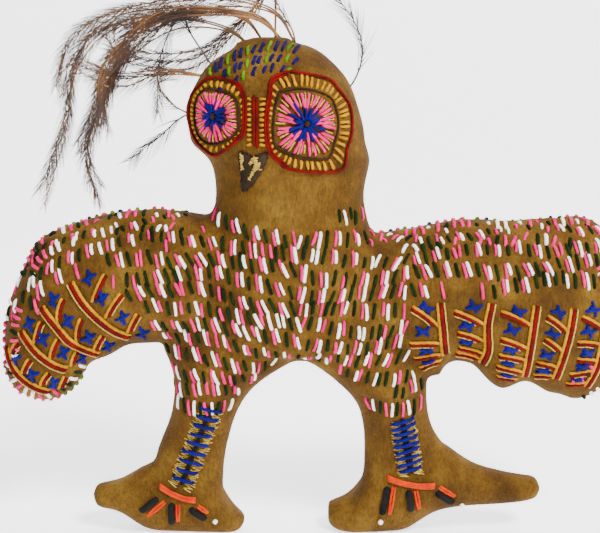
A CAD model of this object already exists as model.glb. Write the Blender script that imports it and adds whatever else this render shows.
"""Looks of the stuffed, embroidered felt owl: felt skin, wool yarn, couched cords, beads and feathers."""
import math
import random

import bmesh
import bpy
import numpy as np
from mathutils import Matrix, Vector
from mathutils.bvhtree import BVHTree


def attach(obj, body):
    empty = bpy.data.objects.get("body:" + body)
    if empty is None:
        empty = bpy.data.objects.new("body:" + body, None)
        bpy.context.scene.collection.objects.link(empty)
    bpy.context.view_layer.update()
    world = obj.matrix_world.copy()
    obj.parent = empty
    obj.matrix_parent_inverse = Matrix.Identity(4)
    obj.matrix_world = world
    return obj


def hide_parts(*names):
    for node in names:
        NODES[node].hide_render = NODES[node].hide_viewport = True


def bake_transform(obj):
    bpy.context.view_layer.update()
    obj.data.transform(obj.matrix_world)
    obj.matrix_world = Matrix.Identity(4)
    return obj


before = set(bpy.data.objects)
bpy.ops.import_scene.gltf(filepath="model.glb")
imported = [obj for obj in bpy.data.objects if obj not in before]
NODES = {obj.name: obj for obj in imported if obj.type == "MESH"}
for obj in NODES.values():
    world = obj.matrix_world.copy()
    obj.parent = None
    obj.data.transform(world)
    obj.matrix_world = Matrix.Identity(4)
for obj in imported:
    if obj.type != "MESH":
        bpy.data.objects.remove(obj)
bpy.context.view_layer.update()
MM = 0.001
RNG = random.Random(7)
LEFT_SHOULDER, RIGHT_SHOULDER = -77.5, 58.0     # X of the flex lines
SPLIT_X = -10.0         # where the left panels meet the right ones
LEG_CUT = 64.0          # height where the leg panels begin
VOXEL = 1.9             # mm, the grain of the felt skin
PUFF_FRAMES = 16        # frames that the cloth is let swell for
MOST_PUFF = 2.6         # mm
SOLE_HELD = 2.5         # mm above the ground that stay still


# ---------------------------------------------------------------- meshes
def read(items, name):
    """One vector for each vertex or face, such as its place or its normal."""
    out = np.empty(len(items) * 3)
    items.foreach_get(name, out)
    return out.reshape(-1, 3)


def mesh_points(obj):
    return read(obj.data.vertices, "co") / MM


def show(name, data):
    """A new object in the scene."""
    obj = bpy.data.objects.new(name, data)
    bpy.context.scene.collection.objects.link(obj)
    return obj


def all_smooth(mesh):
    mesh.polygons.foreach_set("use_smooth", [True] * len(mesh.polygons))


def islands(node):
    """The separate solids of a CAD node, each as an array of points in mm."""
    obj = NODES[node]
    points = mesh_points(obj)
    parent = list(range(len(points)))

    def root(i):
        while parent[i] != i:
            parent[i] = parent[parent[i]]
            i = parent[i]
        return i

    seen = {}
    for i, p in enumerate(points):
        key = tuple(np.round(p, 3))
        if key in seen:
            parent[root(i)] = root(seen[key])
        else:
            seen[key] = i
    for edge in obj.data.edges:
        a, b = edge.vertices
        parent[root(a)] = root(b)
    groups = {}
    for i in range(len(points)):
        groups.setdefault(root(i), []).append(i)
    return [points[g] for g in groups.values()]


def ends_of(points):
    """The two ends of a long thin solid."""
    centre = (points.max(axis=0) + points.min(axis=0)) / 2
    _, _, axes = np.linalg.svd(points - points.mean(axis=0), full_matrices=False)
    axis = axes[0] if axes[0][2] < 0 or (abs(axes[0][2]) < 1e-6 and axes[0][0] > 0) else -axes[0]
    along = (points - points.mean(axis=0)) @ axis
    middle = points.mean(axis=0)
    low, high = along.min(), along.max()
    return middle + axis * low, middle + axis * high


class Build:
    """Collects tubes and other closed forms into one mesh."""

    def __init__(self):
        self.verts, self.faces = [], []

    def tube(self, points, normals, radii, sides=9, lobes=2, depth=0.15, pitch=5.0, flat=0.9, phase=0.0):
        points = np.asarray(points, float)
        normals = np.asarray(normals, float)
        count = len(points)
        tangent = np.gradient(points, axis=0)
        tangent /= np.linalg.norm(tangent, axis=1)[:, None] + 1e-12
        normals = normals - (normals * tangent).sum(axis=1)[:, None] * tangent
        normals /= np.linalg.norm(normals, axis=1)[:, None] + 1e-12
        side = np.cross(tangent, normals)
        travelled = np.concatenate([[0], np.cumsum(np.linalg.norm(np.diff(points, axis=0), axis=1))])
        base = len(self.verts)
        for i in range(count):
            for j in range(sides):
                angle = 2 * math.pi * j / sides
                turn = lobes * angle - 2 * math.pi * travelled[i] / pitch + phase
                r = radii[i] * (1 + depth * math.cos(turn))
                out = flat * math.cos(angle) * normals[i] + math.sin(angle) * side[i]
                self.verts.append(points[i] + r * out)
        for i in range(count - 1):
            for j in range(sides):
                a = base + i * sides + j
                b = base + i * sides + (j + 1) % sides
                self.faces.append((a, b, b + sides, a + sides))
        for ring, sign in ((0, -1), (count - 1, 1)):
            tip = len(self.verts)
            self.verts.append(points[ring] + sign * tangent[ring] * radii[ring] * 0.5)
            for j in range(sides):
                a = base + ring * sides + j
                b = base + ring * sides + (j + 1) % sides
                self.faces.append((a, b, tip) if sign > 0 else (b, a, tip))

    def lathe(self, centre, axis, profile, sides=14):
        """A closed ring or bead: profile is (distance along the axis, radius) all the way round."""
        axis = np.asarray(axis, float) / np.linalg.norm(axis)
        u = np.cross(axis, (0.3, 0.5, 0.8))
        u /= np.linalg.norm(u)
        v = np.cross(axis, u)
        base = len(self.verts)
        n = len(profile)
        for j in range(sides):
            angle = 2 * math.pi * j / sides
            out = u * math.cos(angle) + v * math.sin(angle)
            for along, radius in profile:
                self.verts.append(centre + axis * along + out * radius)
        for j in range(sides):
            for i in range(n):
                a = base + j * n + i
                b = base + j * n + (i + 1) % n
                c = base + ((j + 1) % sides) * n + (i + 1) % n
                d = base + ((j + 1) % sides) * n + i
                self.faces.append((a, b, c, d))

    def make(self, name, material):
        mesh = bpy.data.meshes.new(name)
        mesh.from_pydata([tuple(v * MM) for v in self.verts], [], self.faces)
        mesh.validate()
        all_smooth(mesh)
        obj = show(name, mesh)
        bm = bmesh.new()
        bm.from_mesh(mesh)
        bmesh.ops.recalc_face_normals(bm, faces=bm.faces)
        bm.to_mesh(mesh)
        bm.free()
        mesh.materials.append(material)
        return obj


# ---------------------------------------------------------------- materials
def new_material(name):
    material = bpy.data.materials.new(name)
    material.use_nodes = True
    tree = material.node_tree
    shader = tree.nodes["Principled BSDF"]
    return material, tree, shader


def noise(tree, scale, detail=4.0, roughness=0.6, stretch=None):
    coords = tree.nodes.new("ShaderNodeTexCoord")
    node = tree.nodes.new("ShaderNodeTexNoise")
    node.inputs["Scale"].default_value = scale
    node.inputs["Detail"].default_value = detail
    node.inputs["Roughness"].default_value = roughness
    source = coords.outputs["Object"]
    if stretch:
        mapping = tree.nodes.new("ShaderNodeMapping")
        mapping.inputs["Scale"].default_value = stretch
        tree.links.new(source, mapping.inputs["Vector"])
        source = mapping.outputs["Vector"]
    tree.links.new(source, node.inputs["Vector"])
    return node.outputs["Fac"]


def ramp(tree, source, stops):
    node = tree.nodes.new("ShaderNodeValToRGB")
    node.color_ramp.elements[0].position = stops[0][0]
    node.color_ramp.elements[0].color = (*stops[0][1], 1)
    node.color_ramp.elements[1].position = stops[-1][0]
    node.color_ramp.elements[1].color = (*stops[-1][1], 1)
    for position, colour in stops[1:-1]:
        node.color_ramp.elements.new(position).color = (*colour, 1)
    tree.links.new(source, node.inputs["Fac"])
    return node.outputs["Color"]


def mix(tree, factor, a, b, mode="MIX"):
    node = tree.nodes.new("ShaderNodeMix")
    node.data_type = "RGBA"
    node.blend_type = mode
    if isinstance(factor, float):
        node.inputs["Factor"].default_value = factor
    else:
        tree.links.new(factor, node.inputs["Factor"])
    colour_a, colour_b = [s for s in node.inputs if s.type == "RGBA"]
    for socket, value in ((colour_a, a), (colour_b, b)):
        if isinstance(value, tuple):
            socket.default_value = (*value, 1)
        else:
            tree.links.new(value, socket)
    return [s for s in node.outputs if s.type == "RGBA"][0]


def bump(tree, shader, source, strength, distance):
    node = tree.nodes.new("ShaderNodeBump")
    node.inputs["Strength"].default_value = strength
    node.inputs["Distance"].default_value = distance
    tree.links.new(source, node.inputs["Height"])
    tree.links.new(node.outputs["Normal"], shader.inputs["Normal"])


def vary(tree, shader, source, low, high):
    node = tree.nodes.new("ShaderNodeMapRange")
    node.inputs["To Min"].default_value = low
    node.inputs["To Max"].default_value = high
    tree.links.new(source, node.inputs["Value"])
    tree.links.new(node.outputs["Result"], shader.inputs["Roughness"])


def felt_material(name, dark, mid, light, sheen=0.10):
    material, tree, shader = new_material(name)
    cloud = noise(tree, 55.0, 3.0, 0.55)
    fibre = noise(tree, 900.0, 5.0, 0.75, (1.0, 1.0, 0.35))
    fleck = noise(tree, 2300.0, 3.0, 0.7)
    base = ramp(tree, cloud, [(0.30, dark), (0.52, mid), (0.75, light)])
    grain = ramp(tree, fibre, [(0.30, (0.50, 0.48, 0.44)), (0.50, (0.98, 0.98, 0.98)),
                               (0.72, (1.45, 1.42, 1.32))])
    colour = mix(tree, 1.0, base, grain, "MULTIPLY")
    specks = ramp(tree, fleck, [(0.34, (0.55, 0.5, 0.45)), (0.5, (1, 1, 1)), (0.70, (1.35, 1.3, 1.2))])
    colour = mix(tree, 0.7, colour, specks, "MULTIPLY")
    held = tree.nodes.new("ShaderNodeAttribute")
    held.attribute_name = "pucker"
    shade = ramp(tree, held.outputs["Fac"], [(0.0, (0.92, 0.92, 0.90)), (0.4, (0.56, 0.50, 0.48)),
                                             (1.0, (0.20, 0.16, 0.15))])
    colour = mix(tree, 1.0, colour, shade, "MULTIPLY")
    tree.links.new(colour, shader.inputs["Base Color"])
    vary(tree, shader, fibre, 0.80, 1.0)
    shader.inputs["Sheen Weight"].default_value = sheen
    shader.inputs["Sheen Roughness"].default_value = 0.6
    shader.inputs["Sheen Tint"].default_value = (*light, 1)
    shader.inputs["Specular IOR Level"].default_value = 0.15
    bump(tree, shader, fibre, 0.55, 0.0006)
    return material


def yarn_material(name, dark, light, sheen=0.08, roughness=(0.7, 0.95), scale=1500.0):
    material, tree, shader = new_material(name)
    fibre = noise(tree, scale, 4.0, 0.7)
    cloud = noise(tree, 160.0, 2.0, 0.5)
    base = ramp(tree, cloud, [(0.32, dark), (0.68, light)])
    strands = ramp(tree, fibre, [(0.30, (0.62, 0.60, 0.60)), (0.52, (1, 1, 1)), (0.75, (1.25, 1.22, 1.2))])
    tree.links.new(mix(tree, 0.8, base, strands, "MULTIPLY"), shader.inputs["Base Color"])
    vary(tree, shader, fibre, *roughness)
    shader.inputs["Sheen Weight"].default_value = sheen * 0.4
    shader.inputs["Sheen Tint"].default_value = (*light, 1)
    shader.inputs["Sheen Roughness"].default_value = 0.5
    shader.inputs["Specular IOR Level"].default_value = 0.10
    bump(tree, shader, fibre, 0.5, 0.0004)
    return material


def metal_thread(name):
    material, tree, shader = new_material(name)
    glint = noise(tree, 2600.0, 3.0, 0.8)
    colour = ramp(tree, glint, [(0.38, (0.05, 0.025, 0.001)), (0.5, (0.42, 0.25, 0.012)),
                                (0.62, (0.95, 0.72, 0.14))])
    tree.links.new(colour, shader.inputs["Base Color"])
    shader.inputs["Metallic"].default_value = 0.45
    vary(tree, shader, glint, 0.25, 0.50)
    bump(tree, shader, glint, 0.8, 0.0004)
    return material


def bead_material():
    material, tree, shader = new_material("bead_white")
    cloud = noise(tree, 400.0, 2.0, 0.5)
    tree.links.new(ramp(tree, cloud, [(0.3, (0.80, 0.79, 0.75)), (0.7, (0.93, 0.92, 0.90))]),
                   shader.inputs["Base Color"])
    vary(tree, shader, cloud, 0.10, 0.22)
    shader.inputs["Coat Weight"].default_value = 0.4
    return material


def feather_material(name, dark, mid, light):
    material, tree, shader = new_material(name)
    cloud = noise(tree, 45.0, 3.0, 0.6)
    fine = noise(tree, 1200.0, 3.0, 0.6)
    base = ramp(tree, cloud, [(0.34, dark), (0.52, mid), (0.72, light)])
    shade = ramp(tree, fine, [(0.3, (0.7, 0.7, 0.7)), (0.7, (1.2, 1.2, 1.2))])
    tree.links.new(mix(tree, 0.8, base, shade, "MULTIPLY"), shader.inputs["Base Color"])
    vary(tree, shader, fine, 0.35, 0.6)
    bump(tree, shader, fine, 0.3, 0.0002)
    return material


FELT = felt_material("felt_olive", (0.048, 0.02, 0.0012), (0.092, 0.043, 0.0032), (0.155, 0.082, 0.009), 0.03)
BROWN_FELT = felt_material("felt_brown", (0.010, 0.005, 0.002), (0.022, 0.012, 0.006), (0.045, 0.026, 0.013))
FUZZ = yarn_material("felt_fuzz", (0.10, 0.050, 0.006), (0.22, 0.13, 0.025))
YARNS = {
    "pink": yarn_material("yarn_pink", (0.46, 0.0004, 0.085), (0.70, 0.006, 0.145)),
    "white": yarn_material("yarn_white", (0.84, 0.79, 0.70), (0.99, 0.97, 0.92)),
    "green": yarn_material("yarn_green", (0.0010, 0.0060, 0.0003), (0.0050, 0.0170, 0.0010)),
    "navy": yarn_material("yarn_navy", (0.003, 0.0006, 0.030), (0.008, 0.002, 0.075)),
    "lime": yarn_material("yarn_lime", (0.030, 0.085, 0.0005), (0.09, 0.20, 0.0015)),
    "yellow": yarn_material("yarn_yellow", (0.30, 0.118, 0.0), (0.44, 0.205, 0.0), 0.0),
    "red": yarn_material("yarn_red", (0.055, 0.0004, 0.0004), (0.135, 0.0012, 0.0010)),
    "blue": yarn_material("yarn_blue", (0.0010, 0.0, 0.060), (0.0035, 0.0, 0.130), 0.0, (0.6, 0.85)),
    "orange": yarn_material("yarn_orange", (0.37, 0.014, 0.0001), (0.54, 0.038, 0.0003)),
    "black": yarn_material("cloth_black", (0.003, 0.003, 0.003), (0.010, 0.009, 0.009)),
    "brown": yarn_material("yarn_brown", (0.012, 0.005, 0.002), (0.030, 0.014, 0.006)),
}
GOLD = metal_thread("thread_gold")
BEAD = bead_material()
FEATHER_SHAFT = feather_material("feather_shaft", (0.050, 0.018, 0.004), (0.160, 0.060, 0.010),
                                 (0.360, 0.160, 0.028))
FEATHER_BROWN = feather_material("feather_brown", (0.014, 0.004, 0.001), (0.060, 0.019, 0.003),
                                 (0.180, 0.066, 0.010))
FEATHER_DARK = feather_material("feather_dark", (0.008, 0.006, 0.005), (0.022, 0.014, 0.010),
                                (0.060, 0.035, 0.020))


# ---------------------------------------------------------------- felt skin
def shoulder_plug(shoulder, top, low, half):
    """Fills the V that the CAD leaves at a shoulder, so that the cloth runs on across it."""
    bm = bmesh.new()
    bmesh.ops.create_cone(bm, cap_ends=True, segments=64, radius1=1, radius2=1, depth=1)
    scale = Matrix.Diagonal(((top - low) / 2 - 0.3, half - 0.5, 11, 1))
    turn = Matrix.Rotation(math.pi / 2, 4, "Y")
    place = Matrix.Translation((shoulder, 0, (top + low) / 2))
    bmesh.ops.transform(bm, matrix=Matrix.Scale(MM, 4) @ place @ turn @ scale, verts=bm.verts)
    return bm


def start_skin():
    """One closed skin round all the CAD felt and stuffing."""
    bm = bmesh.new()
    for name, obj in NODES.items():
        if name.endswith("_felt") and name != "beak_felt" or name.endswith("_stuffing"):
            bm.from_mesh(obj.data)
    for shoulder, top, low in ((LEFT_SHOULDER, 167.2, 99.5), (RIGHT_SHOULDER, 159.5, 82.0)):
        plug = shoulder_plug(shoulder, top, low, 24.5)
        temp = bpy.data.meshes.new("plug")
        plug.to_mesh(temp)
        plug.free()
        bm.from_mesh(temp)
        bpy.data.meshes.remove(temp)
    mesh = bpy.data.meshes.new("skin")
    bm.to_mesh(mesh)
    bm.free()
    obj = show("skin", mesh)
    remesh = obj.modifiers.new("remesh", "REMESH")
    remesh.mode = "VOXEL"
    remesh.voxel_size = VOXEL * MM
    apply_modifiers(obj)
    keep_largest(obj)
    smooth = obj.modifiers.new("smooth", "SMOOTH")
    smooth.factor = 0.5
    smooth.iterations = 5
    apply_modifiers(obj)
    return obj


def apply_modifiers(obj):
    depsgraph = bpy.context.evaluated_depsgraph_get()
    done = bpy.data.meshes.new_from_object(obj.evaluated_get(depsgraph))
    obj.modifiers.clear()
    old = obj.data
    obj.data = done
    bpy.data.meshes.remove(old)


def keep_largest(obj):
    bm = bmesh.new()
    bm.from_mesh(obj.data)
    left = set(bm.verts)
    best = set()
    while left:
        seed = left.pop()
        group, stack = {seed}, [seed]
        while stack:
            for edge in stack.pop().link_edges:
                for vert in edge.verts:
                    if vert in left:
                        left.discard(vert)
                        group.add(vert)
                        stack.append(vert)
        size = max(v.co.x for v in group) - min(v.co.x for v in group)
        if not best or size > max(v.co.x for v in best) - min(v.co.x for v in best):
            best = group
    bmesh.ops.delete(bm, geom=[v for v in bm.verts if v not in best], context="VERTS")
    bmesh.ops.recalc_face_normals(bm, faces=bm.faces)
    bm.to_mesh(obj.data)
    bm.free()


def set_points(obj, points):
    obj.data.vertices.foreach_set("co", (points * MM).ravel())
    obj.data.update()


def gaps_to(points, lines, reach):
    """For each line, the points within reach of its middle and how far each lies from the line."""
    for a, b in lines:
        a, b = np.asarray(a), np.asarray(b)
        along = b - a
        near = np.where(np.abs(points - (a + b) / 2).max(axis=1) < reach)[0]
        share = np.clip(((points[near] - a) @ along) / (along @ along), 0, 1)
        yield near, np.linalg.norm(points[near] - (a + share[:, None] * along), axis=1)


def surface_tree(obj):
    bm = bmesh.new()
    bm.from_mesh(obj.data)
    bm.transform(Matrix.Scale(1 / MM, 4))
    tree = BVHTree.FromBMesh(bm)
    bm.free()
    return tree


def puff(obj, lines):
    """Cloth pressure swells the felt between the stitches, which hold it down."""
    points, normals = mesh_points(obj), read(obj.data.vertices, "normal")
    held = np.zeros(len(points))
    for near, gap in gaps_to(points, lines, 9):
        held[near] = np.maximum(held[near], np.clip(1.5 - gap / 2.2, 0, 1))
    held[points[:, 2] < SOLE_HELD] = 1
    group = obj.vertex_groups.new(name="held")
    for index, value in enumerate(held):
        if value > 0.02:
            group.add([index], float(value), "REPLACE")
    cloth = obj.modifiers.new("cloth", "CLOTH")
    settings = cloth.settings
    settings.vertex_group_mass = "held"
    settings.quality = 4
    settings.mass = 0.2
    settings.tension_stiffness = 12
    settings.compression_stiffness = 12
    settings.bending_stiffness = 0.6
    settings.use_pressure = True
    settings.uniform_pressure_force = 5.0
    settings.effector_weights.gravity = 0
    cloth.collision_settings.use_self_collision = False
    cloth.point_cache.frame_start = 1
    cloth.point_cache.frame_end = PUFF_FRAMES
    scene = bpy.context.scene
    for number in range(1, PUFF_FRAMES + 1):
        scene.frame_set(number)
    apply_modifiers(obj)
    scene.frame_set(1)
    shift = mesh_points(obj) - points
    length = np.linalg.norm(shift, axis=1)
    shift *= (np.tanh(length / MOST_PUFF) * MOST_PUFF / np.maximum(length, 1e-9))[:, None]
    dip = np.zeros(len(points))
    for near, gap in gaps_to(points, lines, 9):
        dip[near] = np.maximum(dip[near], np.exp(-(gap / 1.7) ** 2))
    set_points(obj, points + shift - normals * dip[:, None])
    obj.vertex_groups.clear()


def note_puckers(obj, lines):
    """Keeps how near each part of the felt is to a stitch, where it is pulled in and darker."""
    points = mesh_points(obj)
    dip = np.zeros(len(points))
    for near, gap in gaps_to(points, lines, 10):
        dip[near] += 0.62 * np.exp(-(gap / 3.2) ** 2)
    attribute = obj.data.attributes.new("pucker", "FLOAT", "POINT")
    attribute.data.foreach_set("value", np.clip(dip, 0, 1))


def seam_groove(obj):
    """The two panels meet in a shallow line round the bare head and legs."""
    points, normals = mesh_points(obj), read(obj.data.vertices, "normal")
    depth = 0.55 * np.exp(-(points[:, 1] / 0.9) ** 2)
    bare = (points[:, 2] > 170) | (points[:, 2] < 66)
    edge = np.abs(normals[:, 1]) < 0.5
    set_points(obj, points - normals * (depth * bare * edge)[:, None])


def rest_on_floor(obj):
    """The soles stay flat on the ground."""
    points = mesh_points(obj)
    points[:, 2] = np.maximum(points[:, 2], 0.0)
    set_points(obj, points)


def split_skin(obj):
    """Front and back panels, parted where a piece has to follow a different pair of bodies."""
    mesh = obj.data
    all_smooth(mesh)
    points, normals = mesh_points(obj), read(obj.data.vertices, "normal")
    faces = [tuple(p.vertices) for p in mesh.polygons]
    groups = {}
    for face in faces:
        x, y, z = points[list(face)].mean(axis=0)
        side = "front" if y < 0 else "back"
        part = "legs" if z < LEG_CUT else ("left" if x < SPLIT_X else "right")
        groups.setdefault((side, part), []).append(face)
    pieces = {}
    for (side, part), chosen in groups.items():
        used = sorted({v for face in chosen for v in face})
        index = {v: i for i, v in enumerate(used)}
        piece = bpy.data.meshes.new(f"felt_{side}_{part}")
        piece.from_pydata([tuple(p * MM) for p in points[used]], [], [[index[v] for v in f] for f in chosen])
        all_smooth(piece)
        piece.normals_split_custom_set_from_vertices([tuple(n) for n in normals[used]])
        piece.materials.append(FELT)
        pieces[(side, part)] = show(piece.name, piece)
    bpy.data.objects.remove(obj)
    return pieces


def follow(obj, part):
    """A left or right piece turns with its wing through the shoulder, and the rest stays with the body."""
    if part == "left":
        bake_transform(obj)
    elif part == "right":
        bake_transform(obj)
    else:
        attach(obj, "body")


# ---------------------------------------------------------------- laying yarn on the skin
SKIN = None


def vector(values):
    return Vector([float(v) for v in values])


def nearest(point):
    location, normal, _, _ = SKIN.find_nearest(vector(point))
    return np.array(location), np.array(normal)


def hit_from(point, direction):
    location, normal, _, _ = SKIN.ray_cast(vector(point), vector(direction))
    return (None, None) if location is None else (np.array(location), np.array(normal))


def lay(build, route, radius, step=0.8, sink=0.9, lift=0.55, **look):
    """Yarn along a route on the skin: sink sets how deep its ends dive, and lift how proud it lies."""
    route = np.asarray(route, float)
    lengths = np.linalg.norm(np.diff(route, axis=0), axis=1)
    total = lengths.sum()
    count = max(6, int(total / step) + 1)
    at = np.concatenate([[0], np.cumsum(lengths)])
    points, normals = [], []
    for i in range(count):
        t = total * i / (count - 1)
        raw = np.array([np.interp(t, at, route[:, k]) for k in range(3)])
        spot, normal = nearest(raw)
        points.append(spot)
        normals.append(normal)
    points, normals = np.array(points), np.array(normals)
    for _ in range(2):
        normals[1:-1] = (normals[:-2] + 2 * normals[1:-1] + normals[2:]) / 4
    normals /= np.linalg.norm(normals, axis=1)[:, None]
    share = np.linspace(0, 1, count)
    from_end = np.minimum(share, 1 - share) * total
    dive = np.clip(1 - from_end / (radius * 1.6), 0, 1) ** 2
    points = points + normals * (radius * lift - dive * (radius + sink * radius))[:, None]
    points[1:-1] = (points[:-2] + 2 * points[1:-1] + points[2:]) / 4
    radii = radius * (1 - 0.25 * dive)
    build.tube(points, normals, radii, phase=RNG.uniform(0, 6.28), **look)


def part_of(x):
    return "left" if x < SPLIT_X else "right"


class Groups:
    """One build per colour and side, so that each piece follows one pair of bodies."""

    def __init__(self):
        self.builds = {}

    def get(self, *key):
        return self.builds.setdefault(key, Build())


def jitter(line, amount, stretch=1.0):
    a, b = np.asarray(line[0], float), np.asarray(line[1], float)
    middle = (a + b) / 2
    half = (b - a) / 2 * stretch
    shift = np.array([RNG.uniform(-amount, amount) for _ in range(3)])
    swing = np.array([RNG.uniform(-amount, amount), 0, RNG.uniform(-amount, amount)])
    return middle + shift * 0.5 - half - swing, middle + shift * 0.5 + half + swing


def far_enough(point, taken, gap):
    return all(abs(point[0] - p[0]) > gap or np.linalg.norm(point - p) > gap for p in taken)


def edge_row(groups, colours, taken, centre, angles, y):
    """Stitches over the edge of a wing, laid from front to back round part of its outline."""
    last = None
    for index in range(600):
        angle = math.radians(angles[0] + (angles[1] - angles[0]) * index / 600)
        out = np.array([math.cos(angle), 0, math.sin(angle)])
        start = np.array([centre[0], y, centre[1]]) + out * 200
        spot, normal = hit_from(start, -out)
        if spot is None or (last is not None and np.linalg.norm(spot - last) < 3.9):
            continue
        last = spot
        if not far_enough(spot, taken, EDGE_ROOM):
            continue
        taken.append(spot)
        along = np.cross(normal, (0, 1, 0))
        across = np.array([0, 1.0, 0]) - normal * normal[1]
        across /= np.linalg.norm(across)
        swing = RNG.uniform(-0.2, 0.2)
        reach = (across * math.cos(swing) + along * math.sin(swing)) * 3.4
        lay(groups.get(RNG.choice(colours), part_of(spot[0])), (spot - reach, spot, spot + reach),
            RNG.uniform(0.85, 1.0), **ROW_LOOK)


def top_row(groups, colours, taken, low_x, high_x, y):
    """Stitches that lie over the top edge beside the neck, where the wing is level."""
    x = low_x
    while x < high_x:
        x += RNG.uniform(3.4, 4.4)
        spot, normal = hit_from((x, y, 178), (0, 0, -1))
        if spot is None or spot[2] < 150 or not far_enough(spot, taken, 2.8):
            continue
        taken.append(spot)
        along = np.array([RNG.uniform(-0.3, 0.3), 1.0, 0])
        reach = (along - normal * (along @ normal)) * RNG.uniform(3.2, 4.2)
        lay(groups.get(RNG.choice(colours), part_of(x)), (spot - reach, spot, spot + reach),
            RNG.uniform(0.85, 1.0), **ROW_LOOK)


# ---------------------------------------------------------------- where the embroidery goes
# Each motif: its spine from the top down, its branches from tip to foot, its stars; X and Z in mm
MOTIFS = {"right_wing": [
    ([(59, 125), (60.5, 113), (62, 100.5), (63, 97)],
     [((47, 123.5), (59, 114)), ((46, 104.5), (60, 104.5)),
      ((48.5, 96), (61, 98)), ((51.5, 90), (61.5, 94.5))],
     [(53.5, 123), (52, 111), (54.5, 100.5), (56, 94)]),
    ([(84, 125), (82.5, 114), (83.5, 100.5), (81.5, 92)],
     [((67.5, 121.5), (81.5, 114.5)), ((69.5, 110.5), (82, 105.5)),
      ((70.5, 102), (82.5, 98.5)), ((69.5, 98.5), (81.5, 95))],
     [(77, 123.5), (73.5, 113.5), (74, 104.5)]),
    ([(106, 123.5), (105, 114), (104, 100.5), (103, 84.5)],
     [((90, 121), (104, 114)), ((90.5, 107.5), (103.5, 101.5)),
      ((90, 98.5), (103, 95)), ((89.5, 92.5), (102.5, 88)),
      ((90, 86), (100, 83.5))],
     [(98.5, 121), (96, 111.5), (95.5, 101), (95, 93.5), (95.5, 86.5)]),
    ([(124.5, 121.5), (123.5, 111.5), (121.5, 100.5), (118, 84)],
     [((113, 118.5), (123, 110)), ((112.5, 107), (120.5, 100.5)),
      ((109, 94), (119, 91)), ((108.5, 86), (117.5, 86))],
     [(118.5, 120), (116, 109), (114, 98), (113, 89)]),
    ([(142, 118.5), (141, 110), (139, 92), (134, 79)],
     [((130.5, 117.5), (140.5, 111)), ((128.5, 104.5), (139, 102.5)),
      ((129, 95.5), (139, 93.5)), ((126, 87), (137.5, 88)),
      ((125, 81.5), (135, 81.5))],
     [(136, 120.5), (134, 109.5), (134, 98.5), (132, 91), (130.5, 84)]),
], "left_wing": [
    ([(-117.5, 135.5), (-110.5, 124), (-98.5, 111.5), (-90.5, 107)],
     [((-102, 139.5), (-108, 126.5)), ((-94.5, 130), (-102, 118)),
      ((-87, 119.5), (-92, 109.5))],
     [(-109.5, 137.5), (-103, 127.5), (-94, 117.5), (-85, 108)]),
    ([(-132.5, 123), (-124, 111.5), (-118.5, 104.5), (-106.5, 97)],
     [((-123, 127), (-125.5, 115.5)), ((-114.5, 117), (-117, 105.5)),
      ((-105, 108), (-109.5, 99))],
     [(-127, 126), (-120.5, 115.5), (-111, 107), (-102.5, 101)]),
    ([(-143.5, 110), (-137.5, 101), (-130, 94), (-122.5, 90)],
     [((-134.5, 115), (-138, 104)), ((-126.5, 106.5), (-130.5, 96)),
      ((-118, 99.5), (-121, 91.5))],
     [(-140, 113), (-133, 106), (-124, 98.5), (-115.5, 94.5)]),
    ([(-152, 100), (-149.5, 91), (-145.5, 85.5), (-139, 80.5), (-132, 77.5)],
     [((-147.5, 103), (-151, 96.5)), ((-141.5, 95), (-145.5, 87)),
      ((-132.5, 88), (-136.5, 81)), ((-125, 85), (-128, 78.5))],
     [(-148, 94.5), (-140.5, 86.5), (-130.5, 81.5)]),
]}
MIXED = ["pink", "white", "green"]
BACK = ["pink", "navy", "lime"]
# the line that the rows follow, in X and Z
TOP_EDGE = [(-157, 104), (-152, 123), (-148, 132), (-143, 140), (-136, 151), (-122, 158.7), (-100, 165),
            (-80, 167.6), (-50, 167.5), (-30, 163.5), (0, 159.5), (25, 157), (45, 158.5), (65, 160.5),
            (90, 161.5), (120, 163.5), (156, 163)]
ROWS, ROW_DROP = 12, 8.5            # rows on a face, and mm from one down to the next
ROW_PLACES, PLACE_STEP = 95, 3.3    # places in a row, and mm between them
MOTIF_ROOM = 2.9                    # mm that a row stitch keeps from a couched line
STRAY_TRIES, STRAY_ROOM = 1500, 2.5  # tries at filling bare felt, and mm kept from other stitches
EDGE_ROOM = 3.1                     # mm between stitches that go over an edge


def wing_motif_zone(x, z):
    """The lower part of each wing that carries the branches, in place of rows."""
    if x > RIGHT_SHOULDER - 2:
        return z < 130.5
    if x > 46:
        return 88 < z < 127
    if x < -76:
        return z < min(139.5, 136 + (x + 118) * (0.95 if x < -118 else -0.75))
    return False


def neck_line(x):
    return 168 - 0.165 * (x + 50) if -50 < x < 10 else 170


def front_gaps(x, z):
    arch = 93.5 - 0.0225 * (x + 7) ** 2
    on_body = -75 < x < 57
    if z < 77 or z > neck_line(x) or (on_body and z < arch + 2) or wing_motif_zone(x, z):
        return False
    return abs(x) < 153


def back_all(x, z):
    return 77 < z <= 170


def motif_gap(x, z):
    """How far a place is from the nearest couched line or star."""
    best = 99.0
    for motifs in MOTIFS.values():
        for spine, branches, stars in motifs:
            if abs(x - spine[0][0]) > 45:
                continue
            for a, b in list(zip(spine, spine[1:])) + branches:
                dx, dz = b[0] - a[0], b[1] - a[1]
                share = min(1, max(0, ((x - a[0]) * dx + (z - a[1]) * dz) / (dx * dx + dz * dz)))
                best = min(best, math.hypot(x - a[0] - share * dx, z - a[1] - share * dz))
            best = min([best] + [math.hypot(x - p[0], z - p[1]) - 1.5 for p in stars])
    return best


def line_gap(place, lines):
    """How far a place is from the nearest of some lines."""
    a, b = (np.array([line[k] for line in lines]) for k in (0, 1))
    run = b - a
    share = np.clip(((place - a) * run).sum(axis=1) / (run * run).sum(axis=1), 0, 1)
    return np.linalg.norm(place - a - share[:, None] * run, axis=1).min()


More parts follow.
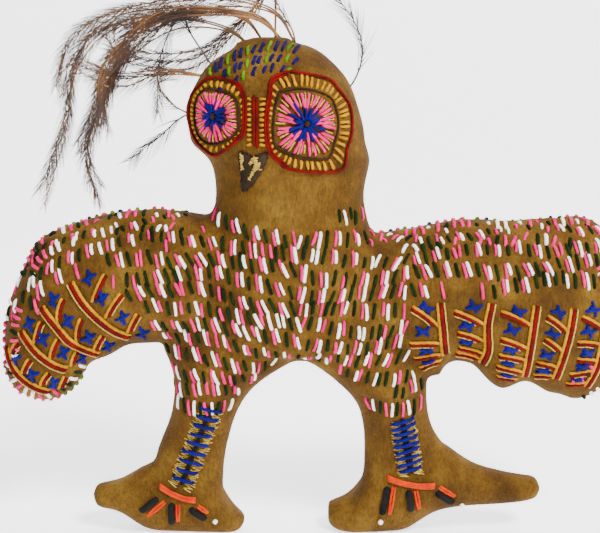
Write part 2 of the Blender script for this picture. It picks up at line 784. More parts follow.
def near_motif(spot, reach, shares):
    """Whether a stitch on the front would touch a couched line or a star."""
    return min(motif_gap(*(spot + reach * k)[[0, 2]]) for k in shares) < MOTIF_ROOM


def row_layout(y_side, colours, allowed):
    """The rows of running stitches on one face, as (start, end, colour) on the unpadded skin."""
    found = []
    xs, tops = zip(*TOP_EDGE)
    for row in range(ROWS):
        shift, backwards = RNG.randint(0, 2), RNG.random() < 0.4
        drift = RNG.uniform(-0.10, 0.10)
        for step in range(ROW_PLACES):
            x = -156 + step * PLACE_STEP + (row % 2) * 2
            place = (-step if backwards else step) + shift
            colour = colours[place % 3]
            if RNG.random() < 0.10:
                colour = RNG.choice(colours)
            x += (0.65, -0.65, 0)[place % 3] * (-1 if backwards else 1) + RNG.uniform(-0.4, 0.4)
            wave = 1.6 * math.sin(x / 13 + row * 1.7)
            z = np.interp(x, xs, tops) - 3.2 - row * ROW_DROP + wave + RNG.uniform(-1.1, 1.1)
            if not allowed(x, z):
                continue
            spot, normal = hit_from((x, y_side * 70, z), (0, -y_side, 0))
            if spot is None or abs(normal[1]) < 0.10:
                continue
            lean = 0.26 if x < -8 else (-0.20 if x < 46 else 0.22)
            lean += drift + 0.10 * math.sin(x / 9 + row) + RNG.uniform(-0.12, 0.12)
            half = RNG.uniform(3.3, 4.5)
            if z < 90:
                half = RNG.uniform(3.3, 4.2)
            reach = np.array([math.sin(lean), 0, -math.cos(lean)]) * half
            if y_side < 0 and near_motif(spot, reach, (-1, -0.5, 0, 0.5, 1)):
                continue
            found.append((nearest(spot - reach)[0], nearest(spot + reach)[0], colour))
    for low_x, high_x in ((-72, -38), (26, 56)):
        for step in range(int((high_x - low_x) / 3.0)):
            x = low_x + 3.0 * step + RNG.uniform(-0.3, 0.3)
            z = 68.5 + 0.012 * (x - (low_x + high_x) / 2) ** 2 + RNG.uniform(-0.5, 0.5)
            spot, normal = hit_from((x, y_side * 70, z), (0, -y_side, 0))
            if spot is not None:
                reach = np.array([RNG.uniform(-0.1, 0.25), 0, -1]) * 4.4
                found.append((nearest(spot - reach)[0], nearest(spot + reach)[0], colours[step % 3]))
    for _ in range(STRAY_TRIES):
        x, z = RNG.uniform(-154, 152), RNG.uniform(78, 168)
        spot, normal = hit_from((x, y_side * 70, z), (0, -y_side, 0)) if allowed(x, z) else (None, None)
        if spot is None or abs(normal[1]) < 0.10:
            continue
        lean = RNG.uniform(-0.4, 0.4)
        reach = np.array([math.sin(lean), 0, -math.cos(lean)]) * RNG.uniform(3.0, 4.0)
        crowded = min(line_gap(spot + reach * k, found) for k in (-1, 0, 1)) < STRAY_ROOM
        if crowded or y_side < 0 and near_motif(spot, reach, (-1, 0, 1)):
            continue
        found.append((nearest(spot - reach)[0], nearest(spot + reach)[0], RNG.choice(colours)))
    return found


def rounded(points, fine):
    """A Catmull-Rom line through all the points but the first and the last, which only steer its ends."""
    points = np.asarray(points, float)
    found = []
    for p0, p1, p2, p3 in zip(points, points[1:], points[2:], points[3:]):
        for t in np.arange(fine) / fine:
            found.append(0.5 * (2 * p1 + (p2 - p0) * t + (2 * p0 - 5 * p1 + 4 * p2 - p3) * t ** 2
                                + (3 * p1 - p0 - 3 * p2 + p3) * t ** 3))
    return found


def curve_xz(points, fine=8):
    """A smooth line through points given in X and Z."""
    points = [points[0]] + list(points) + [points[-1]]
    return np.array(rounded(points, fine) + [np.array(points[-1], float)])


def beside(route, shift):
    """A line in X and Z moved sideways."""
    run = np.gradient(route, axis=0)
    run /= np.linalg.norm(run, axis=1)[:, None]
    return route + np.stack([-run[:, 1], run[:, 0]], axis=1) * shift


def front(x, z):
    """The point of the front face at this x and z."""
    spot, _ = hit_from((x, -80, z), (0, 1, 0))
    return spot if spot is not None else nearest((x, -6, z))[0]


skin = start_skin()
SKIN = surface_tree(skin)
FRONT_ROWS = row_layout(-1, MIXED, front_gaps)
BACK_ROWS = row_layout(1, BACK, back_all)
pins = [(a, b) for a, b, _ in FRONT_ROWS + BACK_ROWS]
for motifs in MOTIFS.values():
    for spine, branches, _ in motifs:
        pins += [(front(*a), front(*b)) for a, b in list(zip(spine, spine[1:])) + branches]
for node in ("eye_yellow_rays", "leg_blue_bars"):
    pins += [tuple(nearest(p)[0] for p in ends_of(points)) for points in islands(node)]
puff(skin, pins)
note_puckers(skin, pins)
seam_groove(skin)
subdivide = skin.modifiers.new("subdivide", "SUBSURF")
subdivide.levels = 1
subdivide.render_levels = 1
apply_modifiers(skin)
rest_on_floor(skin)
SKIN = surface_tree(skin)
panels = split_skin(skin)
for (side, part), panel in panels.items():
    follow(panel, part)
    nodes = [f"body_{side}_felt"]
    if part == "left":
        nodes.append(f"left_wing_{side}_felt")
    if part == "right":
        nodes.append(f"right_wing_{side}_felt")
    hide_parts(*nodes)

# embroidery rows
ROW_LOOK = dict(flat=0.88, lobes=2, depth=0.07, pitch=2.4)
groups = Groups()
back = Groups()
taken, back_taken = [], []
for rows, source, places in ((FRONT_ROWS, groups, taken), (BACK_ROWS, back, back_taken)):
    for start, end, colour in rows:
        a, b = jitter((start, end), 0.15)
        middle = nearest((a + b) / 2)[0]
        places.append(middle)
        lay(source.get(colour, part_of(middle[0])), (a, middle, b), RNG.uniform(0.68, 0.90),
            lift=0.85, **ROW_LOOK)

edge_taken = list(taken) + list(back_taken)
LEFT_TIP, RIGHT_TIP = (-112, 118), (108, 118)       # X and Z that the wing tips curve round
for y in (-13, -4.5, 4.5):
    side = (groups, MIXED) if y < 0 else (back, BACK)
    edge_row(*side, edge_taken, LEFT_TIP, (72, 215), y)
    edge_row(*side, edge_taken, RIGHT_TIP, (118, -60), y)
for y in (-9, 0):
    side = (groups, MIXED) if y < 0 else (back, ["pink", "lime"])
    edge_row(*side, edge_taken, LEFT_TIP, (215, 262), y)
for y in (-14, -5, 5, 14):
    side = (groups, MIXED) if y < 0 else (back, BACK)
    for low_x, high_x in ((-100, -66), (29, 90)):
        top_row(*side, edge_taken, low_x, high_x, y)
for label, source in (("front", groups), ("back", back)):
    for (colour, part), build in source.builds.items():
        obj = build.make(f"{label}_{colour}_yarn_{part}", YARNS[colour])
        follow(obj, part)
        if label == "front":
            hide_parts(f"torso_{colour}_stitches", f"{part}_wing_{colour}_stitches")

# couched branches on the wings
CORD_LOOK = dict(sides=9, lobes=3, depth=0.12, pitch=3.2, flat=0.85)
GOLD_LOOK = dict(sides=7, depth=0.25, pitch=1.4, lift=1.3)


def couch(build, route, radius, **look):
    lay(build, [front(x, z) for x, z in route], radius, step=0.6, **look)


def star(build, x, z, along, room):
    """A star of three or four crossed stitches, flatter where its branches are close together."""
    rise = min(2.6, max(0.7, room - 1.7))
    along = along / np.linalg.norm(along)
    across = np.array([-along[1], along[0]])
    for share, tilt in ((1, 1), (0.95, -1), (0.8, 0.25), (0.7, -0.4)):
        arm = along * 3.5 * share + across * rise * tilt * RNG.uniform(0.85, 1.1)
        centre = np.array([x, z]) + np.array([RNG.uniform(-0.4, 0.4), RNG.uniform(-0.3, 0.3)])
        couch(build, (centre - arm, centre, centre + arm), RNG.uniform(0.72, 0.86),
              lift=RNG.uniform(0.6, 1.3), flat=0.8)


for zone, part, side in (("left_wing", "left", -1), ("right_wing", "right", 1)):
    sewn = {colour: Build() for colour in ("yellow", "red", "gold", "blue")}
    for spine, branches, stars in MOTIFS[zone]:
        route = curve_xz(spine)
        couch(sewn["yellow"], route, 0.85, lift=0.8, **CORD_LOOK)
        couch(sewn["red"], beside(route, side * 1.75), 1.12, lift=0.7, **CORD_LOOK)
        couch(sewn["gold"], beside(route, side * 3.3), 0.42, **GOLD_LOOK)
        feet = []
        for number, (tip, foot) in enumerate(branches):
            tip, foot = np.array(tip), np.array(foot)
            along = (foot - tip) / np.linalg.norm(foot - tip)
            rise = np.array([-along[1], along[0]]) * -side
            foot = foot + along * 1.3
            bow = -rise * RNG.uniform(0.3, 0.9)
            line = curve_xz([tip, (tip * 2 + foot) / 3 + bow, (tip + foot * 2) / 3 + bow, foot])
            couch(sewn["yellow"], line, 0.8, lift=0.8, **CORD_LOOK)
            couch(sewn["red"], beside(line, -side * 1.55)[:-3], 0.95, lift=0.7, **CORD_LOOK)
            if RNG.random() < 0.6:
                couch(sewn["gold"], beside(line, -side * 2.85)[1:-5], 0.38, **GOLD_LOOK)
            feet.append((tip, foot))
        for x, z in stars:
            spot = np.array([x, z])
            gaps = []
            for tip, foot in feet:
                share = np.clip(((spot - tip) @ (foot - tip)) / ((foot - tip) @ (foot - tip)), 0, 1)
                gaps.append((np.linalg.norm(spot - tip - share * (foot - tip)), tuple(foot - tip)))
            room, along = min(gaps)
            star(sewn["blue"], x, z, np.array(along), room)
    for colour, build in sewn.items():
        obj = build.make(f"{zone}_{colour}_couching", GOLD if colour == "gold" else YARNS[colour])
        follow(obj, part)
        node = "blue_stars" if colour == "blue" else f"{colour}_cords"
        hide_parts(f"{zone}_{node}")
        if zone == "right_wing" and colour != "gold":
            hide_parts(f"{zone}_{node}", f"shoulder_{node}")
        {"gold": "gold_thread", "blue": "blue_yarn"}.get(colour, f"{colour}_cord")


def simple_piece(name, material, nodes, build):
    obj = build.make(name, material)
    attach(obj, "body")
    if nodes:
        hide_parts(*nodes)
    return obj


# eyes, X and Z in mm: centre, outline of the red rim, outline of the brown edge, yellow rays, pink rays, and
# the side that the brow is on, 1 or -1
EYES = [
    ((-48, 215.5),
     [(-48, 233), (-41, 232), (-36, 230.5), (-33, 225), (-32.5, 217), (-33.5, 208), (-37, 204.5), (-44, 199),
      (-48, 196.5), (-52, 198.5), (-57.5, 203.5), (-60, 210.5), (-60.5, 217), (-59, 224), (-55, 229),
      (-51.5, 232)],
     [(-47.5, 227.5), (-41.5, 226.5), (-37, 223), (-36, 215.5), (-37, 208.5), (-42.5, 204), (-50.5, 202),
      (-56, 205.5), (-57.5, 212), (-57.5, 218.5), (-56, 224), (-52, 227.5)], 34, 22, 1),
    ((-4.5, 212.5),
     [(-12.5, 236.5), (0.5, 234), (7, 231.5), (10, 228), (15.5, 220.5), (17, 212.5), (16.5, 205),
      (14.5, 199.5), (14, 194), (11.5, 190), (0, 189.5), (-13, 191.5), (-17, 194.5), (-21.5, 199),
      (-23.5, 207), (-23.5, 217), (-22, 225), (-21, 232.5), (-17, 235)],
     [(-17, 227.5), (-9, 228.5), (-1, 227.5), (6.5, 224), (9.5, 218), (10.5, 210.5), (8.5, 202.5), (6, 196),
      (-3.5, 196), (-13, 198.5), (-18.5, 201.5), (-20, 208), (-19.5, 217.5), (-18.5, 223.5)], 44, 25, -1),
]


def outline_reach(centre, outline, angle):
    """How far an outline lies from the centre in one direction."""
    offsets = [(x - centre[0], z - centre[1]) for x, z in outline]
    polar = sorted((math.atan2(z, x) % (2 * math.pi), math.hypot(x, z)) for x, z in offsets)
    angles, reaches = zip(*polar)
    return float(np.interp(angle % (2 * math.pi), angles, reaches, period=2 * math.pi))


def eye_point(centre, angle, reach):
    return front(centre[0] + reach * math.cos(angle), centre[1] + reach * math.sin(angle))


eye = {key: Build() for key in ("rims", "edges", "yellow", "pink", "blue", "gold", "centres")}
for centre, rim, edge, yellow_count, pink_count, brow_side in EYES:
    rim_line, edge_line = curve_xz(rim + rim[:1]), curve_xz(edge + edge[:1])
    couch(eye["rims"], rim_line, 0.78, lift=0.85, sink=0, **CORD_LOOK)
    inner_line = [p + (np.array(centre) - p) * 1.3 / np.linalg.norm(np.array(centre) - p) for p in rim_line]
    near_brow = [p for p in inner_line if (p[0] - centre[0]) * brow_side > 8]
    near_brow.sort(key=lambda p: p[1])
    couch(eye["rims"], near_brow, 0.72, lift=0.8, **CORD_LOOK)
    couch(eye["edges"], edge_line, 0.55, lift=0.7, sink=0, **CORD_LOOK)
    for k in range(yellow_count):
        angle = 2 * math.pi * (k + RNG.uniform(-0.14, 0.14)) / yellow_count
        low, high = outline_reach(centre, edge, angle) + 1.0, outline_reach(centre, rim, angle) - 1.3
        if high - low < 1.2:
            low, high = high - 1.2, high
        a, b = eye_point(centre, angle, low), eye_point(centre, angle + RNG.uniform(-0.03, 0.03), high)
        lay(eye["yellow"], (a, b), RNG.uniform(0.66, 0.80), step=0.5, lift=1.0, sink=0.6, flat=0.85)
    for k in range(pink_count):
        angle = 2 * math.pi * (k + RNG.uniform(-0.18, 0.18)) / pink_count
        reach = outline_reach(centre, edge, angle)
        a = eye_point(centre, angle + RNG.uniform(-0.10, 0.10), reach * RNG.choice((0.22, 0.40, 0.46, 0.5)))
        b = eye_point(centre, angle, reach * RNG.uniform(0.84, 0.92))
        lay(eye["pink"], (a, b), RNG.uniform(0.66, 0.82), step=0.5, lift=1.2, flat=0.88)
        turn = angle + math.pi / pink_count
        a = eye_point(centre, turn, reach * RNG.uniform(0.45, 0.6))
        b = eye_point(centre, turn, reach * RNG.uniform(0.84, 0.93))
        lay(eye["gold"], (a, b), 0.40, step=0.5, **GOLD_LOOK)
    for k in range(15):
        angle = 2 * math.pi * (k + RNG.uniform(-0.25, 0.25)) / 15
        reach = outline_reach(centre, edge, angle)
        a, b = eye_point(centre, angle, 1.4), eye_point(centre, angle, reach * RNG.uniform(0.42, 0.62))
        lay(eye["blue"], (a, b), RNG.uniform(0.72, 0.88), step=0.5, lift=1.0 + 0.3 * (k % 3), flat=0.85)
    for turn in range(6):
        d = np.array([math.cos(turn), 0, math.sin(turn)]) * 1.4
        middle = front(*centre)
        lay(eye["centres"], (middle - d, middle + d), 0.45, step=0.4, lift=3.0 + 0.3 * turn, sides=7)
for key, material, node, slot in (("rims", YARNS["red"], "eye_rim_cords", "red_cord"),
                                  ("edges", YARNS["brown"], "eye_edge_cords", "brown_felt"),
                                  ("yellow", YARNS["yellow"], "eye_yellow_rays", "yellow_cord"),
                                  ("pink", YARNS["pink"], "eye_pink_rays", "pink_yarn"),
                                  ("blue", YARNS["blue"], "eye_blue_rays", "blue_yarn"),
                                  ("gold", GOLD, "eye_gold_rays", "gold_thread"),
                                  ("centres", YARNS["brown"], "eye_centre_knots", "brown_felt")):
    simple_piece("eye_" + key, material, [node], eye[key])
bars = Build()
for k in range(10):
    z = 224.0 - k * 2.35
    for x0, x1 in ((-32.4, -30.2), (-26.6, -23.4)):
        tilt = RNG.uniform(-0.3, 0.5)
        lay(bars, (front(x0, z - tilt), front(x1, z + tilt)), RNG.uniform(0.58, 0.7), step=0.4, lift=1.0,
            flat=0.85)
simple_piece("brow_yellow_bars_yarn", YARNS["yellow"], ["brow_yellow_bars"], bars)
for colour, radius in (("navy", 0.78), ("lime", 0.74)):
    build = Build()
    for points in islands(f"crown_{colour}_stitches"):
        line = jitter(ends_of(points), 0.18, 1.22)
        lay(build, line, radius * RNG.uniform(0.92, 1.06), step=0.6, lift=0.8, flat=0.88)
    simple_piece(f"crown_{colour}_yarn_soft", YARNS[colour], [f"crown_{colour}_stitches"],
                 build)
red = Build()
for x, top, low in ((-29.0, 226.0, 202.0), (-27.6, 225.0, 201.0)):
    couch(red, [(x, top), (x + 0.2, (top + low) / 2), (x, low)], 0.74, lift=0.8, **CORD_LOOK)
simple_piece("brow_red_couching", YARNS["red"], ["brow_red_cords"], red)


# beak: a small padded felt triangle
def beak():
    points = islands("beak_felt")[0]
    low, high = points.min(axis=0), points.max(axis=0)
    width, height = high[0] - low[0], high[2] - low[2]

    def at(u, v):
        return low[0] + u * width, low[2] + v * height

    outline = [at(0.00, 1.00), at(0.28, 0.97), at(0.50, 0.90), at(0.74, 0.97), at(1.00, 0.99),
               at(0.93, 0.72), at(0.70, 0.42), at(0.42, 0.16), at(0.10, 0.00), at(0.05, 0.30), at(0.01, 0.65)]
    dense = rounded(outline[-1:] + outline + outline[:2], 6)
    centre = np.mean(dense, axis=0)
    build = Build()
    rings = 10
    for ring in range(rings + 1):
        share = ring / rings
        rise = 3.4 * math.sqrt(max(0.0, 1 - share ** 2.6)) - 0.6
        for p in dense:
            x, z = centre + (p - centre) * share
            spot, normal = hit_from((x, -80, z), (0, 1, 0))
            build.verts.append(spot + normal * rise)
    for x, z in dense:
        spot, normal = hit_from((x, -80, z), (0, 1, 0))
        build.verts.append(spot - normal * 1.2)
    n = len(dense)
    for ring in range(rings + 1):
        for j in range(n):
            a, b = ring * n + j, ring * n + (j + 1) % n
            build.faces.append((a, b, b + n, a + n))
    build.faces.append(tuple((rings + 1) * n + j for j in range(n)))
    return build, centre, dense


beak_build, beak_centre, beak_outline = beak()
beak_obj = beak_build.make("beak_felt_pad", BROWN_FELT)
clean = bmesh.new()
clean.from_mesh(beak_obj.data)
bmesh.ops.remove_doubles(clean, verts=clean.verts, dist=0.00001)
bmesh.ops.recalc_face_normals(clean, faces=clean.faces)
clean.to_mesh(beak_obj.data)
clean.free()
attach(beak_obj, "body")
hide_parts("beak_felt")
SKIN_FELT = SKIN
SKIN = surface_tree(beak_obj)
gold = Build()
threads = Build()
for x0, z0, x1, z1, width, number in ((1.2, 6.2, 3.4, -0.5, 3.6, 22), (2.2, 0.5, -1.2, -6.0, 2.6, 18),
                                      (-4.6, 6.0, -4.4, -1.5, 2.4, 16)):
    for k in range(number):
        share = (k + 0.5) / number
        x = beak_centre[0] + x0 + (x1 - x0) * share
        z = beak_centre[1] + z0 + (z1 - z0) * share
        reach = width * 0.5 * RNG.uniform(0.7, 1.1)
        tilt = RNG.uniform(0.4, 1.3) * RNG.choice((-1, 1))
        dx, dz = reach * math.cos(tilt), reach * math.sin(tilt)
        lay(gold, (front(x - dx, z - dz), front(x + dx, z + dz)), 0.27, step=0.35,
            lift=1.0 + 0.5 * RNG.random(), sides=6, depth=0.25, pitch=1.2)
simple_piece("beak_gold_thread", GOLD, ["beak_gold_stitches"], gold)
for p in beak_outline[::3]:
    inner = beak_centre + (p - beak_centre) * 0.84
    lay(threads, (front(*p), front(*inner)), 0.28, step=0.3, lift=1.0, sides=6)
simple_piece("beak_edge_stitches", YARNS["brown"], [], threads)
SKIN = SKIN_FELT

# legs
core, gold, bands, strips, orange, beads = (Build() for _ in range(6))
leg_lines = []
for points in islands("leg_core_cords"):
    a, b = ends_of(points)
    leg_lines.append((a, b))
    for shift in ((-0.5, 0, 0), (0.5, 0, 0)):
        lay(core, (a + shift, (a + b) / 2 + shift, b + shift), 0.62, step=0.7, lift=0.6, **CORD_LOOK)
simple_piece("leg_core_yarn", YARNS["black"], ["leg_core_cords"], core)
bars = Build()
for a, b in sorted(leg_lines, key=lambda line: line[0][0]):
    top, low = (a, b) if a[2] > b[2] else (b, a)
    along = (low - top) / np.linalg.norm(low - top)
    across = np.array([-along[2], 0, along[0]])
    across *= math.copysign(1, across[0])
    length = np.linalg.norm(low - top)
    for k in range(9):
        middle = top + along * length * (k + 0.35) / 9
        reach = RNG.uniform(5.4, 6.4)
        rise = np.array([0, 0, RNG.uniform(0.1, 1.2)])
        ends = [front(*(middle + across * reach * s + rise * s)[[0, 2]]) for s in (-1, 0, 1)]
        lay(bars, ends, RNG.uniform(0.86, 1.0), step=0.6, lift=1.5, flat=0.85)
        for side in (-1, 1):
            for turn in range(5):
                near, far = RNG.uniform(1.2, 2.2), RNG.uniform(5.4, 7.2)
                drop = along * length / 9 * (0.18 + 0.19 * turn)
                slant = along * RNG.uniform(-1.0, 1.0)
                inner = middle + drop + across * near * side - slant
                outer = middle + drop + across * far * side + slant
                lay(gold, (front(*inner[[0, 2]]), front(*outer[[0, 2]])), 0.30, step=0.45,
                    lift=1.0 + 0.4 * RNG.random(), depth=0.25, pitch=1.2, sides=6)
simple_piece("leg_gold_thread", GOLD, ["leg_gold_stitches"], gold)
simple_piece("leg_blue_bars_yarn", YARNS["blue"], ["leg_blue_bars"], bars)
for points in islands("ankle_bands"):
    a, b = ends_of(points)
    if a[0] > b[0]:
        a, b = b, a
    for shift in (-1.3, -0.45, 0.4, 1.2):
        sag = (0, 0, -1.4 + RNG.uniform(-0.5, 0.5))
        offset = np.array([0, 0, shift])
        lay(bands, (a + offset - (0.6, 0, 0), (a * 2 + b) / 3 + offset + sag, (a + 2 * b) / 3 + offset + sag,
                    b + offset + (0.6, 0, 0)), 0.56, step=0.7, lift=1.2, **CORD_LOOK)
simple_piece("ankle_orange_cords", YARNS["orange"], ["ankle_bands"], bands)
for points in islands("talon_strips"):
    a, b = ends_of(points)
    lay(strips, (a, (a + b) / 2, b + (b - a) * 0.06), 1.75, step=0.8, lift=0.55, lobes=1, depth=0.04, pitch=9,
        flat=0.75, sides=14)
simple_piece("talon_pads", YARNS["black"], ["talon_strips"], strips)
for points in islands("talon_cords"):
    a, b = ends_of(points)
    cross = np.cross(b - a, (0, 1, 0))
    cross /= np.linalg.norm(cross)
    for shift in (-0.65, 0.65):
        lay(orange, (a + cross * shift, (a + b) / 2 + cross * shift * 1.2, b + cross * shift * 0.5), 0.62,
            step=0.6, lift=0.9, **CORD_LOOK)
simple_piece("talon_orange_cords", YARNS["orange"], ["talon_cords"], orange)
for points in islands("claw_beads"):
    centre = (points.max(axis=0) + points.min(axis=0)) / 2
    profile = [(1.05 * math.cos(a), 0.80 + 0.45 * math.sin(a)) for a in np.arange(12) * math.pi / 6]
    beads.lathe(centre, (0.8, 0, -0.6), profile, 20)
simple_piece("claw_glass_beads", BEAD, ["claw_beads"], beads)

# feathers: the same lines as the CAD shafts, with barbs
# each: its line in X and Z, then how far its tip leans back and where its root stands in Y, in mm
FEATHERS = {
    "crest_feather_01": ([(-9, 247), (-22, 264), (-56, 268.8), (-103, 260.4), (-121, 245),
                         (-127, 227)], 6, 0.0),
    "crest_feather_02": ([(-12.5, 247), (-36, 262), (-92, 259), (-117, 241), (-125, 207),
                         (-138, 175)], 10, 2.6),
    "crest_feather_03": ([(-16, 247), (-29, 261), (-71, 262.6), (-99, 243), (-106, 226),
                         (-104, 209)], 2, -1.4),
    "crest_feather_04": ([(-29, 244), (-44, 255), (-71, 258), (-96, 238), (-107, 221), (-119, 198)], 14, 3.4),
    "crest_feather_05": ([(-23, 246), (-41, 262), (-87, 254), (-108, 214), (-116, 190),
                         (-112, 169)], 21, 6.4),
    "crest_feather_06": ([(-19.5, 247), (-21, 273), (-36, 258), (-62, 239), (-96, 241),
                         (-105, 250)], 26, 4.6),
    "crest_feather_07": ([(-52, 232), (-69, 234), (-82, 232), (-95, 230), (-107, 232), (-120, 237)], 24, 2.4),
    "crest_feather_08": ([(-49, 235), (-60, 251), (-66, 261), (-75, 246), (-79, 230), (-80, 211)], 28, 5.4),
    "crest_feather_09": ([(-55, 217), (-67, 211), (-78, 201), (-86, 195), (-93, 189)], 14, 3.0),
    "crest_feather_10": ([(13, 222), (20, 232), (23, 244), (20, 256), (12, 268), (5, 276)], 12, 3.0),
    "short_a": ([(-57, 211), (-70, 218), (-77, 227), (-72, 231), (-66, 235)], 5, 6.4),
    "short_b": ([(-9.5, 247), (-11, 254), (-15, 261), (-20, 270), (-24, 277)], 0, -3.0),
}


def smooth_path(points, count):
    """A rounded line through the points, evenly spaced."""
    points = np.asarray(points, float)
    steered = np.vstack([2 * points[0] - points[1], points, 2 * points[-1] - points[-2]])
    fine = np.array(rounded(steered, 24) + [points[-1]])
    at = np.concatenate([[0], np.cumsum(np.linalg.norm(np.diff(fine, axis=0), axis=1))])
    want = np.linspace(0, at[-1], count)
    return np.column_stack([np.interp(want, at, fine[:, k]) for k in range(3)]), at[-1]


HAIR_LOOK = dict(sides=3, lobes=1, depth=0, flat=1)


def feather(shaft, barbs, points, lean, root_y, density, longest):
    """A shaft with loose barbs, density of them to the mm and up to longest mm long."""
    count = len(points) - 1
    line = [(x, root_y + lean * (i / count) ** 1.3, z) for i, (x, z) in enumerate(points)]
    path, length = smooth_path(line, 60)
    up = np.tile((0.0, -1.0, 0.0), (60, 1))
    radii = 0.50 * (1 - 0.72 * np.linspace(0, 1, 60))
    shaft.tube(path, up, radii, sides=7, lobes=1, depth=0.0, flat=0.8)
    tangent = np.gradient(path, axis=0)
    tangent /= np.linalg.norm(tangent, axis=1)[:, None]
    number = int(length * density)
    for k in range(number):
        share = 0.22 + 0.78 * (k + RNG.random()) / number
        if RNG.random() > 0.35 + 0.65 * share:
            continue
        place = share * 59
        i = min(int(place), 58)
        root = path[i] + (path[i + 1] - path[i]) * (place - i)
        along = tangent[i]
        side = np.cross(along, (0, -1, 0)) * RNG.choice((-1, 1))
        side += np.array([0, RNG.uniform(-0.7, 0.7), 0])
        side /= np.linalg.norm(side)
        fullness = 0.45 + 0.55 * math.sin(math.pi * min(1, share * 0.9 + 0.1))
        reach = longest * fullness * RNG.uniform(0.5, 1.0)
        direction = along * RNG.uniform(0.75, 1.0) + side * RNG.uniform(0.28, 0.55)
        direction /= np.linalg.norm(direction)
        droop = np.array([RNG.uniform(-0.1, 0.1), RNG.uniform(-0.1, 0.1), -0.35])
        stem = [root + direction * reach * t + droop * reach * t * t * 0.5 + along * reach * t * t * 0.25
                for t in np.linspace(0, 1, 6)]
        barbs.tube(stem, [side + (0, -0.01, 0.02)] * 6, 0.15 * (1 - 0.75 * np.linspace(0, 1, 6)),
                   **HAIR_LOOK)


def plume(name, shaft, barbs, dark, node):
    """Joins a shaft and its barbs, the barbs darker than the shaft."""
    offset, first = len(shaft.verts), len(shaft.faces)
    shaft.verts += barbs.verts
    shaft.faces += [tuple(v + offset for v in face) for face in barbs.faces]
    obj = simple_piece(name, FEATHER_DARK if dark else FEATHER_SHAFT, [node], shaft)
    obj.data.materials.append(FEATHER_DARK if dark else FEATHER_BROWN)
    index = np.zeros(len(obj.data.polygons), dtype=np.int32)
    index[first:] = 1
    obj.data.polygons.foreach_set("material_index", index)


short = Build()
short_barbs = Build()
for name, (points, lean, root_y) in FEATHERS.items():
    is_short = name.startswith("short")
    shaft = short if is_short else Build()
    barbs = short_barbs if is_short else Build()
    dark = name in ("crest_feather_08", "crest_feather_10", "crest_feather_09")
    feather(shaft, barbs, points, lean, root_y, 2.4, 15 if not is_short else 9)
    if not is_short and not dark:
        for drop in (-1.1, 0.9):
            spread = [(x + 0.4 * i + RNG.uniform(-1.5, 1.5) * (i > 1),
                       z + drop * i + RNG.uniform(-2, 2) * (i > 1)) for i, (x, z) in enumerate(points)]
            feather(shaft, barbs, spread, lean + RNG.uniform(-5, 3), root_y, 2.0, 12)
    if not is_short:
        node = "small_crest_feathers" if dark else name
        plume(name + "_plume", shaft, barbs, dark, node)
plume("short_head_plumes", short, short_barbs, False, "short_head_feathers")


# felt fuzz: short loose fibres that catch the light along every edge
def fuzz(panel, count, part, name):
    mesh = panel.data
    areas = np.empty(len(mesh.polygons))
    mesh.polygons.foreach_get("area", areas)
    centres, normals = read(mesh.polygons, "center") / MM, read(mesh.polygons, "normal")
    rng = np.random.default_rng(5)
    chosen = rng.choice(len(areas), size=count, p=areas / areas.sum())
    build = Build()
    for index in chosen:
        if centres[index][2] < 3.0:
            continue
        normal = normals[index]
        tilt = rng.normal(0, 0.8, 3)
        direction = normal + tilt
        direction /= np.linalg.norm(direction)
        if direction @ normal < 0.15:
            direction += normal * 0.5
        length = rng.uniform(0.7, 1.9)
        curl = rng.normal(0, 0.5, 3)
        root = centres[index] - normal * 0.15
        stem = [root + direction * length * t + curl * length * t * t * 0.6 for t in (0, 0.5, 1)]
        build.tube(stem, [np.cross(direction, curl + (0.01, 0, 0))] * 3, (0.055, 0.04, 0.015), **HAIR_LOOK)
    obj = build.make(name, FUZZ)
    follow(obj, part)


for (side, part), panel in panels.items():
    fuzz(panel, 2600 if side == "front" else 1600, part, f"fuzz_{side}_{part}")


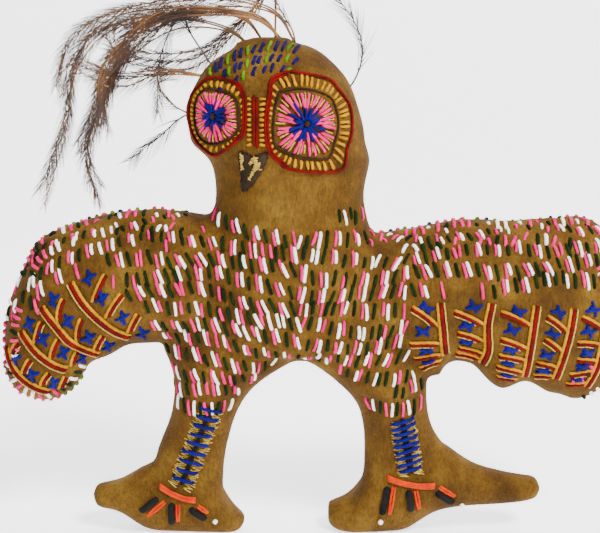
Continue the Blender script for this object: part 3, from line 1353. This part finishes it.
# ---------------------------------------------------------------- floor, light and camera
def plain_material(name, colour):
    material, tree, shader = new_material(name)
    cloud = noise(tree, 3.0, 2.0, 0.5)
    tree.links.new(ramp(tree, cloud, [(0.3, tuple(c * 0.97 for c in colour)), (0.7, colour)]),
                   shader.inputs["Base Color"])
    vary(tree, shader, cloud, 0.85, 0.95)
    return material


def floor():
    """A pale sheet that curves up into a backdrop."""
    profile = [(-1.6, 0.0), (0.5, 0.0)]
    for angle in np.linspace(0.1, math.pi / 2, 12):
        profile.append((0.5 + 0.35 * math.sin(angle), 0.35 - 0.35 * math.cos(angle)))
    profile.append((0.85, 2.0))
    verts = [(x, y, z) for x in (-2.4, 2.4) for y, z in profile]
    n = len(profile)
    faces = [(i, i + n, i + n + 1, i + 1) for i in range(n - 1)]
    mesh = bpy.data.meshes.new("floor")
    mesh.from_pydata(verts, [], faces)
    all_smooth(mesh)
    material = plain_material("floor_pale", (0.86, 0.85, 0.86))
    shader = material.node_tree.nodes["Principled BSDF"]
    shader.inputs["Emission Color"].default_value = (0.97, 0.96, 0.97, 1)
    shader.inputs["Emission Strength"].default_value = 1.7
    mesh.materials.append(material)
    show("floor", mesh)


def area_light(name, location, target, size, power, colour):
    light = bpy.data.lights.new(name, "AREA")
    light.shape = "RECTANGLE"
    light.size, light.size_y = size
    light.energy = power
    light.color = colour
    obj = show(name, light)
    obj.location = location
    obj.rotation_euler = (Vector(target) - Vector(location)).to_track_quat("-Z", "Y").to_euler()


floor()
area_light("key", (0.75, -0.95, 1.45), (0, 0, 0.13), (0.50, 0.50), 80, (1.0, 0.99, 0.97))
area_light("fill", (-1.3, -1.1, 0.7), (0, 0, 0.13), (1.2, 1.2), 8, (0.97, 0.985, 1.0))
area_light("top", (0.2, 0.5, 1.9), (0, 0, 0.1), (1.0, 1.0), 14, (1, 1, 1))
world = bpy.data.worlds.new("studio")
bpy.context.scene.world = world
world.use_nodes = True
world.node_tree.nodes["Background"].inputs["Color"].default_value = (0.93, 0.95, 1.0, 1)
world.node_tree.nodes["Background"].inputs["Strength"].default_value = 0.16
camera = show("camera", bpy.data.cameras.new("camera"))
camera.data.lens = 85.0
camera.data.sensor_width = 36
camera.location = (-7.5 * MM, -0.690, 0.2867)
camera.rotation_euler = (math.radians(90 - 12.15), 0, 0)
bpy.context.scene.camera = camera
